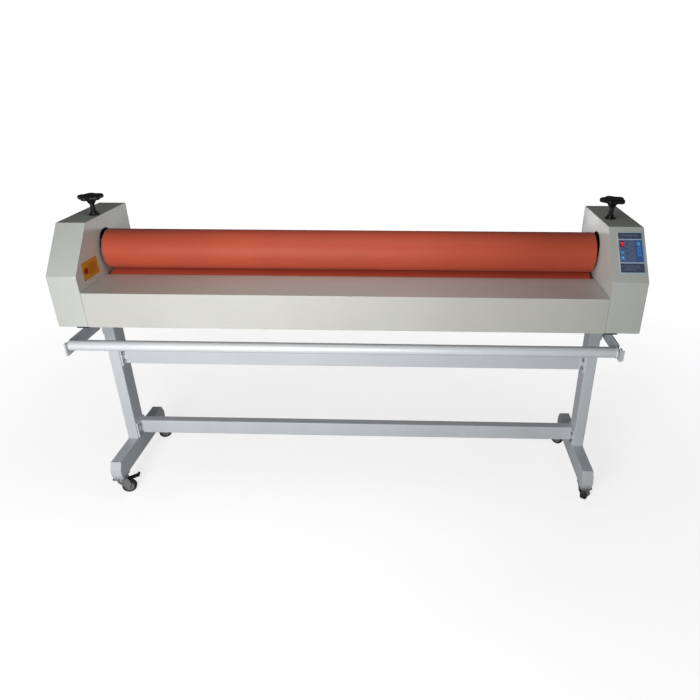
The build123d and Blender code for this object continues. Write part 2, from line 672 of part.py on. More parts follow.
def caster_plate(name):
    """Top plate, ball race and kingpin, fixed under the foot."""
    side, y, _ = CASTER_PLACES[name]
    x = INNER[side] + side * CASTER_D
    plate = block(x - 21, x + 21, y - 28, y + 28, FOOT_Z[0] - PLATE_T, FOOT_Z[0])
    plate = fillet(plate.edges().filter_by(Axis.Z), 5.0)
    race = Pos(x, y, RACE_Z + 3) * Cone(17.5, 20, 6)
    pin = rod_z(x, y, RACE_Z - 9, RACE_Z, KINGPIN_R)
    return plate + race + pin


def caster_fork(name):
    """Pressed fork with the wheel's axle and the pedal's pin."""
    crown = rod_z(0, 0, FORK_TOP - 4, FORK_TOP, 19.0)
    crown += Pos(9, 0, FORK_TOP - 2) * Box(18, 2 * (LEG_GAP + LEG_T), 4)
    crown -= rod_z(0, 0, 0, FOOT_Z[0], KINGPIN_R + RUN_CLEAR)
    outline = ((-14, FORK_TOP), (18, FORK_TOP), (27, 54), (TRAIL + 10, 29), (TRAIL + 6, 16),
               (TRAIL - 6, 16), (-14, FORK_TOP - 11))
    fork = crown
    for near in (-LEG_GAP - LEG_T, LEG_GAP):
        leg = Plane(origin=(0, near + LEG_T, 0), x_dir=(1, 0, 0), z_dir=(0, -1, 0)) * Polygon(
            *outline, align=None)
        fork += extrude(leg, amount=LEG_T, dir=(0, -1, 0))
    reach = LEG_GAP + LEG_T + 2
    fork += rod_y(TRAIL, -reach, reach, WHEEL_R, AXLE_R)
    fork += rod_y(PEDAL_PIVOT[0], -reach, reach, PEDAL_PIVOT[1], 2.5)
    return caster_place(name) * fork


def caster_wheel(name):
    """Wheel with a rounded tread and a bored hub."""
    wheel = rod_y(TRAIL, -WHEEL_W / 2, WHEEL_W / 2, WHEEL_R, WHEEL_R)
    wheel = fillet(wheel.edges(), 4.0)
    for near, far in ((-WHEEL_W, -WHEEL_W / 2 + 2), (WHEEL_W / 2 - 2, WHEEL_W)):
        wheel -= rod_y(TRAIL, near, far, WHEEL_R, WHEEL_RECESS_R)
    wheel += rod_y(TRAIL, -WHEEL_W / 2 - 1, WHEEL_W / 2 + 1, WHEEL_R, HUB_R)
    wheel -= rod_y(TRAIL, -WHEEL_W, WHEEL_W, WHEEL_R, AXLE_R + RUN_CLEAR)
    return caster_place(name) * wheel


def brake_pedal(name):
    """Foot pedal that tips down on to the tread."""
    x, z = PEDAL_PIVOT
    width = 2 * LEG_GAP - 2
    blade = Pos(20, 0, 0) * Box(46, width, 3)
    blade += Pos(40, 0, 3) * Box(6, width, 4)
    hub = Rot(90, 0, 0) * Cylinder(4.6, width)
    pedal = Pos(x, 0, z) * (Rot(0, -PEDAL_TILT, 0) * blade + hub)
    pedal -= rod_y(x, -width, width, z, 2.5 + RUN_CLEAR)
    return caster_place(name) * pedal


def caster_bolts():
    """Four bolt heads under each caster plate."""
    bolts = []
    for side, y, _ in CASTER_PLACES.values():
        x = INNER[side] + side * CASTER_D
        for dx in (-14, 14):
            for dy in (-22, 22):
                z = FOOT_Z[0] - PLATE_T
                bolts.append(rod_z(x + dx, y + dy, z - 3.2, z, 4.2))
    return bolts


def cover_screws():
    """Pan head screws on the outer faces of the covers."""
    screws = []
    for side in (-1, 1):
        x0, x1 = outboard(side, WIDTH[side], WIDTH[side] + 2)
        for y in (FRONT_Y + 30, BACK_Y - 30):
            for z in (COVER_BOTTOM + 25, CREASE_Z - 20):
                screws.append(fillet(rod_x(x0, x1, y, z, 4.5).edges(), 0.8))
    return screws


# ---- assembly -------------------------------------------------------------------------------
def build():
    """Every node's shape by name."""
    parts = {"right_cover": right_cover_shell(), "left_cover": cover_shell(-1)}
    for side, word in NAMES.items():
        parts[word + "_inner_panel"] = inner_panel(side)
        parts[word + "_side_frame"] = side_frame(side)
        parts[word + "_pressure_screw"] = pressure_screw(side)
        parts[word + "_knob"] = star_knob(side)
        parts[word + "_upright"] = upright(side)
        parts[word + "_foot"] = foot(side)
        parts[word + "_bar_arm"] = arm(side)
    parts["base_plates"] = group([base_plate(side) for side in (-1, 1)])
    parts["knob_collars"] = group([knob_collar(side) for side in (-1, 1)])
    parts["feed_table"] = table(-1, 1.5)
    parts["exit_table"] = table(1, 1.5)
    parts["tie_bars"] = group([rod_x(web_x(-1)[1], web_x(1)[0], y, z, TIE_R) for y, z in TIES])
    parts["lower_bearings"] = group([bearing_ring(side, BOTTOM_Z) for side in (-1, 1)])
    parts["upper_bearings"] = group([bearing_ring(side, TOP_Z) for side in (-1, 1)])
    parts["bearing_blocks"] = group([bearing_block(side) for side in (-1, 1)])
    parts["lift_springs"] = group([lift_spring(side, AXIS_Y + dy) for side in (-1, 1) for dy in (-17, 17)])
    parts["top_roller_sleeve"] = roller_sleeve(TOP_Z)
    parts["top_roller_core"] = roller_core(TOP_Z, web_x(1)[1] + 7)
    parts["bottom_roller_sleeve"] = roller_sleeve(BOTTOM_Z)
    parts["bottom_roller_core"] = roller_core(BOTTOM_Z, web_x(1)[1] + 7)
    parts["drive_gear"] = drive_gear()
    parts["motor_pinion"] = motor_pinion()
    parts["gearmotor"] = gearmotor()
    parts["control_panel"] = control_panel()
    parts["display_window"] = display_window()
    parts["control_board"] = control_board()
    for name, place in KEY_PLACES.items():
        parts[name] = key(*place)
    parts["side_label"] = side_label()
    parts["power_inlet"] = power_inlet()
    parts["power_switch"] = power_switch()
    parts["lower_crossbar"] = crossbar(LOWER_BAR)
    parts["upper_crossbar"] = crossbar(UPPER_BAR)
    parts["stand_bolts"] = group(crossbar_bolts() + caster_bolts())
    parts["cover_screws"] = group(cover_screws())
    parts["supply_bar"] = supply_bar()
    parts["supply_bushes"] = group([supply_bush(side) for side in (-1, 1)])
    parts["caster_plates"] = group([caster_plate(name) for name in CASTER_PLACES])
    for name in CASTER_PLACES:
        parts[name + "_fork"] = caster_fork(name)
        parts[name + "_wheel"] = caster_wheel(name)
    for name in ("front_left", "front_right"):
        parts[name + "_brake_pedal"] = brake_pedal(name)
    return parts


os.makedirs("parts", exist_ok=True)
for node, shape in build().items():
    export_step(shape, "parts/" + node + ".step")
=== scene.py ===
import json
import math

import bpy
from mathutils import Matrix, Vector


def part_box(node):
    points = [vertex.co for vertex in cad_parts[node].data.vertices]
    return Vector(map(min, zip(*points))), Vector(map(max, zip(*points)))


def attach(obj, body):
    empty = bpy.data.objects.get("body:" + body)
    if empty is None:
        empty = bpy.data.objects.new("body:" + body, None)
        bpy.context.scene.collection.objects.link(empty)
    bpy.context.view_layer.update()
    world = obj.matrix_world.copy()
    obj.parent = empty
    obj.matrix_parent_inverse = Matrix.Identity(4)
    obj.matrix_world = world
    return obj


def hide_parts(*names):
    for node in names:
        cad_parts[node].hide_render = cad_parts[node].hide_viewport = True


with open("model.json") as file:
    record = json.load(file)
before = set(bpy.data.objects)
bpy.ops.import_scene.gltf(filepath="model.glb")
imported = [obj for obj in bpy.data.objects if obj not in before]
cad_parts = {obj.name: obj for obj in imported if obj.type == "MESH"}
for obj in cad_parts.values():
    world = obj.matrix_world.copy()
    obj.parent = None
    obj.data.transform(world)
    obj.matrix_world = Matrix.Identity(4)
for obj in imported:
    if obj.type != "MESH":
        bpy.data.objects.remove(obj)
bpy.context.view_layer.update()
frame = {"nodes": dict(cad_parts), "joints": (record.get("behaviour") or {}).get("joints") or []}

MM = 0.001
SIDES = {"left": -1, "right": 1}
JOINTS = {joint["name"]: joint for joint in frame["joints"]}


# ---- camera, lights and floor ---------------------------------------------------------------
CAMERA_PLACE = Vector((0.2147, -1.8703, 1.4532))
CAMERA_YAW = -0.0299          # turned towards -X
CAMERA_PITCH = 0.4518         # down
SENSOR = 36.0
LENS = 30.26
SHIFT = (-0.0679, -0.0129)
FLOOR_SIZE = 60
FLOOR_GLOW = (0.74, 1.0)       # the floor's own light near the machine and far from it
GLOW_REACH = (0.8, 3.2)        # distances from the middle between which it changes, in metres
SURROUND = 0.08                # strength of the surround as light


def make_camera():
    """Camera in front of the machine, a little to the right, looking down on it."""
    data = bpy.data.cameras.new("camera")
    data.sensor_width = SENSOR
    data.lens = LENS
    data.shift_x, data.shift_y = SHIFT
    camera = bpy.data.objects.new("camera", data)
    camera.location = CAMERA_PLACE
    camera.rotation_euler = (math.pi / 2 - CAMERA_PITCH, 0, -CAMERA_YAW)
    bpy.context.collection.objects.link(camera)
    bpy.context.scene.camera = camera


def area_light(name, place, target, size, power, color=(1, 1, 1)):
    """Soft rectangular light aimed at a point."""
    data = bpy.data.lights.new(name, "AREA")
    data.shape = "RECTANGLE"
    data.size, data.size_y = size
    data.energy = power
    data.color = color
    light = bpy.data.objects.new(name, data)
    light.location = place
    light.rotation_euler = (Vector(target) - Vector(place)).to_track_quat("-Z", "Y").to_euler()
    light.visible_camera = False
    bpy.context.collection.objects.link(light)


def make_floor():
    """Pale floor that brightens into the pale surround with distance."""
    bpy.ops.mesh.primitive_plane_add(size=FLOOR_SIZE)
    floor = bpy.context.object
    floor.name = "floor"
    paint = Shader("floor_white", (0.42, 0.42, 0.42), rough=0.8)
    paint.vary(0.02, scale=3)
    ray = paint.nodes.new("ShaderNodeLightPath").outputs["Is Camera Ray"]
    length = paint.nodes.new("ShaderNodeVectorMath")
    length.operation = "LENGTH"
    paint.links.new(paint.place, length.inputs[0])
    glow = paint.nodes.new("ShaderNodeMath")
    glow.operation = "MULTIPLY"
    paint.links.new(ray, glow.inputs[0])
    paint.links.new(paint.span(length.outputs["Value"], *FLOOR_GLOW, *GLOW_REACH), glow.inputs[1])
    paint.shader.inputs["Emission Color"].default_value = (1, 1, 1, 1)
    paint.links.new(glow.outputs[0], paint.shader.inputs["Emission Strength"])
    floor.data.materials.append(paint.material)


def make_studio():
    """Pale surround, a tall soft light at the front left and weak lights on the other sides."""
    world = bpy.data.worlds.new("studio")
    world.use_nodes = True
    nodes, links = world.node_tree.nodes, world.node_tree.links
    ray = nodes.new("ShaderNodeLightPath")
    strength = nodes.new("ShaderNodeMapRange")
    strength.inputs["To Min"].default_value = SURROUND
    strength.inputs["To Max"].default_value = 1.0
    links.new(ray.outputs["Is Camera Ray"], strength.inputs["Value"])
    links.new(strength.outputs["Result"], nodes["Background"].inputs["Strength"])
    nodes["Background"].inputs["Color"].default_value = (1, 1, 1, 1)
    bpy.context.scene.world = world
    bpy.context.scene.view_settings.view_transform = "Standard"
    area_light("key", (-0.62, -2.15, 0.92), (-0.25, 0, 0.78), (0.9, 1.2), 41, (1.0, 0.995, 0.98))
    area_light("overhead", (0, -0.2, 1.32), (0, -0.1, 0.8), (1.1, 0.25), 1.5)
    area_light("back", (0.3, 2.6, 0.42), (0, 0, 0.5), (2.4, 0.5), 11)
    area_light("left", (-3.0, -0.2, 0.8), (-0.9, 0, 0.7), (1.0, 1.0), 4)
    area_light("right", (3.0, -0.2, 0.8), (0.9, 0, 0.7), (1.0, 1.0), 5)
    make_floor()


# ---- materials ------------------------------------------------------------------------------
class Shader:
    """A principled material whose colour, roughness and bump come from noise on the object."""

    def __init__(self, name, color, rough=0.5, metal=0.0, coat=0.0, sheen=0.0, specular=0.5):
        self.material = bpy.data.materials.new(name)
        self.material.use_nodes = True
        self.nodes = self.material.node_tree.nodes
        self.links = self.material.node_tree.links
        self.shader = self.nodes["Principled BSDF"]
        self.color, self.rough = color, rough
        self.shader.inputs["Base Color"].default_value = (*color, 1)
        self.shader.inputs["Roughness"].default_value = rough
        self.shader.inputs["Metallic"].default_value = metal
        self.shader.inputs["Coat Weight"].default_value = coat
        self.shader.inputs["Sheen Weight"].default_value = sheen
        self.shader.inputs["Specular IOR Level"].default_value = specular
        self.place = self.nodes.new("ShaderNodeTexCoord").outputs["Object"]
        self.height = None

    def noise(self, scale, stretch=(1, 1, 1), detail=4.0):
        """Noise at a scale in features per metre, stretched along the object's axes."""
        mapping = self.nodes.new("ShaderNodeMapping")
        mapping.inputs["Scale"].default_value = stretch
        texture = self.nodes.new("ShaderNodeTexNoise")
        texture.inputs["Scale"].default_value = scale
        texture.inputs["Detail"].default_value = detail
        self.links.new(self.place, mapping.inputs["Vector"])
        self.links.new(mapping.outputs["Vector"], texture.inputs["Vector"])
        return texture.outputs["Fac"]

    def span(self, value, low, high, from_low=0.3, from_high=0.7):
        """A value mapped to a range."""
        node = self.nodes.new("ShaderNodeMapRange")
        node.inputs["From Min"].default_value = from_low
        node.inputs["From Max"].default_value = from_high
        node.inputs["To Min"].default_value = low
        node.inputs["To Max"].default_value = high
        self.links.new(value, node.inputs["Value"])
        return node.outputs["Result"]

    def mix(self, factor, a, b):
        """Colour mix; a and b are colours or sockets."""
        node = self.nodes.new("ShaderNodeMix")
        node.data_type = "RGBA"
        self.links.new(factor, node.inputs["Factor"])
        for value, socket in ((a, node.inputs[6]), (b, node.inputs[7])):
            if isinstance(value, tuple):
                socket.default_value = (*value, 1)
            else:
                self.links.new(value, socket)
        return node.outputs[2]

    def tint(self, factor, b):
        """Blend another colour over the base colour."""
        socket = self.shader.inputs["Base Color"]
        base = socket.links[0].from_socket if socket.is_linked else self.color
        self.links.new(self.mix(factor, base, b), socket)

    def vary(self, amount, scale, stretch=(1, 1, 1)):
        """Slow variation of the colour between a darker and a lighter tone."""
        dark = tuple(c * (1 - amount) for c in self.color)
        light = tuple(min(1.0, c * (1 + amount)) for c in self.color)
        factor = self.span(self.noise(scale, stretch), 0, 1)
        self.links.new(self.mix(factor, dark, light), self.shader.inputs["Base Color"])
        return self

    def satin(self, amount, scale, stretch=(1, 1, 1)):
        """Variation of the roughness."""
        value = self.span(self.noise(scale, stretch), self.rough - amount, self.rough + amount)
        self.links.new(value, self.shader.inputs["Roughness"])
        return self

    def bump(self, scale, depth, stretch=(1, 1, 1), strength=0.4, detail=3.0):
        """Fine relief; depth is in metres, and layers add up."""
        node = self.nodes.new("ShaderNodeBump")
        node.inputs["Strength"].default_value = strength
        node.inputs["Distance"].default_value = depth
        self.links.new(self.noise(scale, stretch, detail), node.inputs["Height"])
        if self.height is not None:
            self.links.new(self.height, node.inputs["Normal"])
        self.height = node.outputs["Normal"]
        self.links.new(self.height, self.shader.inputs["Normal"])
        return self

    def specks(self, color, scale, share=0.72, strength=0.5):
        """Scattered small marks of another colour."""
        self.tint(self.span(self.noise(scale, detail=1.0), 0, strength, share, share + 0.04), color)
        return self

    def grime(self, color, low, high, strength=0.5):
        """Dirt that gathers towards the floor, between two heights in metres."""
        split = self.nodes.new("ShaderNodeSeparateXYZ")
        self.links.new(self.place, split.inputs[0])
        down = self.span(split.outputs["Z"], strength, 0.0, low, high)
        broken = self.nodes.new("ShaderNodeMath")
        broken.operation = "MULTIPLY"
        self.links.new(down, broken.inputs[0])
        self.links.new(self.noise(22, detail=6), broken.inputs[1])
        self.tint(broken.outputs[0], color)
        return self


def powder_coat(name, color, rough=0.42):
    """Sprayed and baked paint: orange peel, faint mottling and dust."""
    paint = Shader(name, color, rough=rough, coat=0.06)
    paint.vary(0.035, 4).satin(0.06, 9)
    paint.specks(tuple(c * 0.82 for c in color), 260, share=0.75, strength=0.25)
    return paint.bump(620, 0.00012, strength=0.35).bump(60, 0.0002, strength=0.12)


def brushed(name, color, rough, stretch, scale=220):
    """Metal with drawn or turned streaks; the streaks run where stretch is small."""
    metal = Shader(name, color, rough=rough, metal=1.0)
    metal.vary(0.10, scale, stretch).satin(0.09, scale * 1.7, stretch)
    return metal.bump(scale * 2.2, 0.00005, stretch, strength=0.35)


def satin_aluminium():
    """Drawn tube with a matt anodised skin and faint lengthwise lines."""
    skin = Shader("anodised_aluminium", (0.83, 0.86, 0.90), rough=0.44, metal=0.15, specular=0.5)
    skin.vary(0.05, 200, (0.04, 3, 3)).satin(0.06, 320, (0.04, 3, 3))
    skin.specks((0.55, 0.57, 0.60), 300, share=0.74, strength=0.25)
    return skin.bump(480, 0.00005, (0.04, 3, 3), strength=0.3)


def silicone():
    """Ground silicone rubber with fine rings round the roller and specks of dust."""
    rubber = Shader("silicone_rubber", (0.50, 0.080, 0.038), rough=0.56, sheen=0.06, specular=0.3)
    rubber.vary(0.06, 5, (1, 0.6, 0.6)).satin(0.06, 60, (6, 0.3, 0.3))
    rubber.tint(rubber.span(rubber.noise(3, (0.8, 2, 2)), 0.0, 0.25, 0.45, 0.75), (0.43, 0.060, 0.028))
    rubber.specks((0.70, 0.30, 0.22), 420, share=0.73, strength=0.3)
    return rubber.bump(300, 0.00006, (4, 0.12, 0.12), strength=0.45).bump(900, 0.00004, strength=0.25)


def moulded(name, color, rough=0.42, grain=1500):
    """Moulded plastic with a fine spark-eroded grain."""
    plastic = Shader(name, color, rough=rough, specular=0.3)
    plastic.vary(0.18, 30).satin(0.08, 45)
    plastic.specks(tuple(c * 1.4 + 0.02 for c in color), 700, share=0.72, strength=0.3)
    return plastic.bump(grain, 0.00008, strength=0.35)


def printed(name, color, rough=0.3):
    """Screen printed polyester film."""
    film = Shader(name, color, rough=rough, coat=0.25)
    film.vary(0.05, 90).satin(0.05, 120)
    return film.bump(1800, 0.00003, strength=0.25)


def zinc():
    """Bright zinc plating with a slightly cloudy grain."""
    plate = Shader("zinc_plate", (0.52, 0.54, 0.56), rough=0.34, metal=1.0)
    plate.vary(0.16, 120).satin(0.10, 90).specks((0.30, 0.31, 0.33), 500, strength=0.4)
    return plate.bump(900, 0.00005, strength=0.3)


def tyre_rubber():
    """Black caster rubber with scuffs and floor dust."""
    rubber = Shader("caster_rubber", (0.022, 0.022, 0.023), rough=0.62, specular=0.35)
    rubber.vary(0.3, 80).satin(0.1, 60).specks((0.16, 0.155, 0.15), 300, share=0.68, strength=0.5)
    rubber.grime((0.20, 0.19, 0.175), 0.0, 0.02, 0.5)
    return rubber.bump(700, 0.0001, strength=0.4)


def cast_paint():
    """Dark enamel over a rough casting."""
    iron = Shader("casting_enamel", (0.055, 0.058, 0.062), rough=0.5, specular=0.4)
    iron.vary(0.2, 25).satin(0.1, 30).specks((0.14, 0.13, 0.12), 200, strength=0.4)
    return iron.bump(160, 0.0005, strength=0.4).bump(700, 0.0001, strength=0.3)


def make_materials():
    """Every material by name."""
    stand = powder_coat("stand_coat", (0.66, 0.70, 0.74), rough=0.36)
    stand.grime((0.33, 0.33, 0.31), 0.08, 0.30, 0.35)
    glow = Shader("digit_glow", (0.6, 0.02, 0.03), rough=0.4)
    glow.vary(0.1, 400)
    glow.shader.inputs["Emission Color"].default_value = (1.0, 0.04, 0.06, 1)
    glow.shader.inputs["Emission Strength"].default_value = 1.6
    made = {
        "cover": powder_coat("cover_coat", (0.595, 0.62, 0.585), rough=0.40),
        "table": powder_coat("table_coat", (0.605, 0.61, 0.565), rough=0.38),
        "stand": stand,
        "silicone": silicone(),
        "aluminium": satin_aluminium(),
        "turned": brushed("turned_steel", (0.55, 0.55, 0.56), 0.28, (5, 0.2, 0.2)),
        "steel": brushed("milled_steel", (0.48, 0.48, 0.49), 0.38, (1, 1, 0.1)),
        "oxide": moulded("black_oxide", (0.018, 0.018, 0.020), rough=0.36, grain=1100),
        "zinc": zinc(),
        "casting": cast_paint(),
        "black": moulded("black_plastic", (0.007, 0.007, 0.0075), rough=0.46),
        "motor": cast_paint(),
        "nylon": moulded("natural_nylon", (0.62, 0.60, 0.54), rough=0.45, grain=900),
        "tyre": tyre_rubber(),
        "wheel_core": moulded("grey_wheel_core", (0.20, 0.21, 0.22), rough=0.45, grain=900),
        "panel_edge": printed("panel_border_film", (0.55, 0.68, 0.84)),
        "panel_field": printed("panel_field_film", (0.135, 0.185, 0.34)),
        "panel_zone": printed("panel_zone_film", (0.060, 0.170, 0.47)),
        "panel_dark": printed("panel_band_film", (0.080, 0.105, 0.175)),
        "panel_line": printed("panel_line_film", (0.46, 0.62, 0.82)),
        "panel_mark": printed("panel_mark_film", (0.26, 0.33, 0.46)),
        "key": printed("key_film", (0.085, 0.36, 0.86), rough=0.26),
        "key_mark": printed("key_mark_film", (0.02, 0.06, 0.16)),
        "key_light": printed("key_light_film", (0.50, 0.74, 0.95)),
        "led": moulded("smoked_led", (0.012, 0.016, 0.02), rough=0.15),
        "lens": printed("display_lens", (0.10, 0.004, 0.016), rough=0.12),
        "digit": glow,
        "board": printed("board_mask", (0.012, 0.12, 0.045), rough=0.35),
        "amber": printed("amber_film", (0.66, 0.30, 0.012)),
        "amber_dark": printed("amber_border_film", (0.30, 0.085, 0.004)),
        "notice_red": printed("notice_red_film", (0.36, 0.020, 0.006)),
        "notice_ink": printed("notice_ink_film", (0.22, 0.10, 0.01)),
        "bead": powder_coat("weld_coat", (0.53, 0.57, 0.60), rough=0.40),
        # black edging whose black also paints the shade in the shaft holes' gaps
        "gap_shade_trim": moulded("black_trim_painted_gap_shade", (0.008, 0.008, 0.008), rough=0.7, grain=700),
    }
    return {name: shader.material for name, shader in made.items()}


make_camera()
make_studio()
MATERIALS = make_materials()

NODE_LOOKS = {
    "cover": ("left_cover", "right_cover", "left_inner_panel", "right_inner_panel"),
    "table": ("feed_table", "exit_table"),
    "stand": ("left_upright", "right_upright", "left_foot", "right_foot", "lower_crossbar",
              "upper_crossbar", "left_bar_arm", "right_bar_arm"),
    "silicone": ("top_roller_sleeve", "bottom_roller_sleeve"),
    "turned": ("top_roller_core", "bottom_roller_core", "tie_bars", "upper_bearings", "lower_bearings"),
    "steel": ("bearing_blocks", "drive_gear", "motor_pinion", "lift_springs"),
    "oxide": ("left_pressure_screw", "right_pressure_screw", "base_plates"),
    "casting": ("left_side_frame", "right_side_frame"),
    "zinc": ("stand_bolts", "cover_screws", "caster_plates", "front_left_fork", "front_right_fork",
             "rear_left_fork", "rear_right_fork"),
    "black": ("left_knob", "right_knob", "knob_collars", "power_inlet", "power_switch",
              "front_left_brake_pedal", "front_right_brake_pedal"),
    "aluminium": ("supply_bar",),
    "motor": ("gearmotor",),
    "nylon": ("supply_bushes",),
    "tyre": ("front_left_wheel", "front_right_wheel", "rear_left_wheel", "rear_right_wheel"),
    "panel_edge": ("control_panel",),
    "key": ("speed_up_key", "forward_key", "reverse_key", "run_key", "stop_key"),
    "lens": ("display_window",),
    "board": ("control_board",),
    "amber": ("side_label",),
}
BEVELS = {                     # edge radius of pressed and cut metal, in metres
    "cover": 0.0006, "table": 0.0006, "steel": 0.0004, "casting": 0.0012, "zinc": 0.0004,
    "black": 0.0004, "key": 0.0003, "panel_edge": 0.0003, "oxide": 0.0005,
}


def dress_nodes():
    """Give every CAD node its material and a small edge radius where it has sharp edges."""
    for look, names in NODE_LOOKS.items():
        for name in names:
            node = frame["nodes"][name]
            for slot in node.material_slots:
                slot.material = MATERIALS[look]
            if look in BEVELS:
                weld = node.modifiers.new("weld", "WELD")
                weld.merge_threshold = 0.00001
                bevel = node.modifiers.new("bevel", "BEVEL")
                bevel.width = BEVELS[look]
                bevel.segments = 2
                bevel.limit_method = "ANGLE"
                bevel.angle_limit = math.radians(35)
                bevel.harden_normals = True


# ---- mesh helpers ---------------------------------------------------------------------------
def piece(name, points, faces, body, slot, look, smooth=False):
    """A new mesh that rides on a body and takes its finish from the look; the slot is not used."""
    mesh = bpy.data.meshes.new(name)
    mesh.from_pydata([tuple(p) for p in points], [], faces)
    mesh.validate()
    mesh.materials.append(MATERIALS[look])
    if smooth:
        mesh.shade_smooth()
    thing = bpy.data.objects.new(name, mesh)
    bpy.context.collection.objects.link(thing)
    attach(thing, body)
    return thing


def grid_faces(rows, columns, closed_rows=False, closed_columns=True):
    """Quads over a grid of points, row by row."""
    faces = []
    for i in range(rows if closed_rows else rows - 1):
        for j in range(columns if closed_columns else columns - 1):
            a, b = i * columns + j, i * columns + (j + 1) % columns
            c, d = ((i + 1) % rows) * columns + (j + 1) % columns, ((i + 1) % rows) * columns + j
            faces.append((a, b, c, d))
    return faces


def prism(outline, low, high, place):
    """Points and faces of an outline (counter-clockwise) raised from low to high in a local frame."""
    count = len(outline)
    points = [place @ Vector((x, y, z)) for z in (low, high) for x, y in outline]
    faces = [tuple(range(count))[::-1], tuple(range(count, 2 * count))]
    for i in range(count):
        j = (i + 1) % count
        faces.append((i, j, j + count, i + count))
    return points, faces


def join(parts):
    """Several point and face lists as one."""
    points, faces = [], []
    for part_points, part_faces in parts:
        start = len(points)
        points += part_points
        faces += [tuple(i + start for i in face) for face in part_faces]
    return points, faces


def rounded(width, height, radius, steps=4, centre=(0, 0)):
    """Outline of a rectangle with round corners."""
    outline = []
    for turn, (sx, sy) in enumerate(((1, 1), (-1, 1), (-1, -1), (1, -1))):
        for i in range(steps + 1):
            a = math.pi / 2 * (turn + i / steps)
            outline.append((centre[0] + sx * (width / 2 - radius) + radius * math.cos(a),
                            centre[1] + sy * (height / 2 - radius) + radius * math.sin(a)))
    return outline


def disc(radius, centre=(0, 0), steps=24):
    """Outline of a circle."""
    return [(centre[0] + radius * math.cos(2 * math.pi * i / steps),
             centre[1] + radius * math.sin(2 * math.pi * i / steps)) for i in range(steps)]


def turned_piece(profile, place, steps=48):
    """Points and faces of a closed ring turned about local Z from an (r, z) profile."""
    points = []
    for r, z in profile:
        for i in range(steps):
            a = 2 * math.pi * i / steps
            points.append(place @ Vector((r * math.cos(a), r * math.sin(a), z)))
    return points, grid_faces(len(profile), steps, closed_rows=True)


def axis_frame(origin, z_axis, x_axis=(1, 0, 0)):
    """Matrix with a given origin and Z axis, and X as near to x_axis as it can be."""
    z = Vector(z_axis).normalized()
    x = (Vector(x_axis) - z * Vector(x_axis).dot(z)).normalized()
    y = z.cross(x)
    turn = Matrix((x, y, z)).transposed().to_4x4()
    return Matrix.Translation(Vector(origin)) @ turn


# ---- control panel graphics -----------------------------------------------------------------
PANEL_HALF_T = 0.75 * MM
PANEL_FILM = 0.12 * MM
KEY_SIZE = (10 * MM, 12.5 * MM)
WINDOW_SIZE = (12 * MM, 21 * MM)


def panel_frame():
    """Local frame on the panel's top surface, in metres, X to the right and Y up the slope."""
    low, high = (Vector(corner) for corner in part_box("control_panel"))
    normal = -Vector(JOINTS["run_key_push"]["axis"]).normalized()
    centre = (low + high) / 2 + normal * PANEL_HALF_T
    return axis_frame(centre, normal)


def node_centre(name):
    """Middle of a CAD node's box."""
    low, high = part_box(name)
    return (Vector(low) + Vector(high)) / 2


def panel_holes(place, margin):
    """Rectangles in the panel's frame that the keys and the window take up."""
    inverse = place.inverted()
    holes = []
    for name in NODE_LOOKS["key"]:
        c = inverse @ node_centre(name)
        w, h = KEY_SIZE[0] / 2 + margin, KEY_SIZE[1] / 2 + margin
        holes.append((c.x - w, c.x + w, c.y - h, c.y + h))
    c = inverse @ node_centre("display_window")
    w, h = WINDOW_SIZE[0] / 2, WINDOW_SIZE[1] / 2
    holes.append((c.x - w, c.x + w, c.y - h, c.y + h))
    return holes


def cut_sheet(area, holes, low, high, place):
    """A rectangle (x0, x1, y0, y1) with rectangular holes, as one closed sheet."""
    x0, x1, y0, y1 = area
    inside = [h for h in holes if h[0] < x1 and h[1] > x0 and h[2] < y1 and h[3] > y0]
    xs = sorted({x0, x1, *(min(max(v, x0), x1) for h in inside for v in h[:2])})
    ys = sorted({y0, y1, *(min(max(v, y0), y1) for h in inside for v in h[2:])})

    def solid(i, j):
        if not (0 <= i < len(xs) - 1 and 0 <= j < len(ys) - 1):
            return False
        cx, cy = (xs[i] + xs[i + 1]) / 2, (ys[j] + ys[j + 1]) / 2
        return not any(h[0] < cx < h[1] and h[2] < cy < h[3] for h in inside)

    columns = len(ys)
    points = [place @ Vector((x, y, z)) for z in (low, high) for x in xs for y in ys]
    top = len(xs) * columns
    faces = []
    for i in range(len(xs) - 1):
        for j in range(columns - 1):
            if not solid(i, j):
                continue
            a, b = i * columns + j, (i + 1) * columns + j
            c, d = b + 1, a + 1
            faces += [(a, d, c, b), (a + top, b + top, c + top, d + top)]
            edges = ((a, b, (i, j - 1)), (b, c, (i + 1, j)), (c, d, (i, j + 1)), (d, a, (i - 1, j)))
            for p, q, near in edges:
                if not solid(*near):
                    faces.append((p, q, q + top, p + top))
    return points, faces


PANEL_ZONES = {                # look and area in millimetres from the panel's centre
    "header_band": ("panel_dark", (-35.5, 35.5, 45.0, 65.0)),
    "header_line": ("panel_line", (-35.5, 35.5, 42.0, 44.2)),
    "left_field": ("panel_field", (-35.5, 13.5, -31.5, 41.2)),
    "right_field": ("panel_zone", (13.5, 35.5, -31.5, 41.2)),
    "footer_line": ("panel_line", (-35.5, 35.5, -34.6, -32.4)),
    "footer_band": ("panel_dark", (-35.5, 35.5, -65.0, -35.6)),
}
LED_ROWS = (29.5, 13.5, -2.5, -19.0)
LEGEND_LINES = ((0, 56.0, 52), (-4, -44.0, 52), (3, -50.0, 44), (-8, -56.0, 38))   # x, y and length


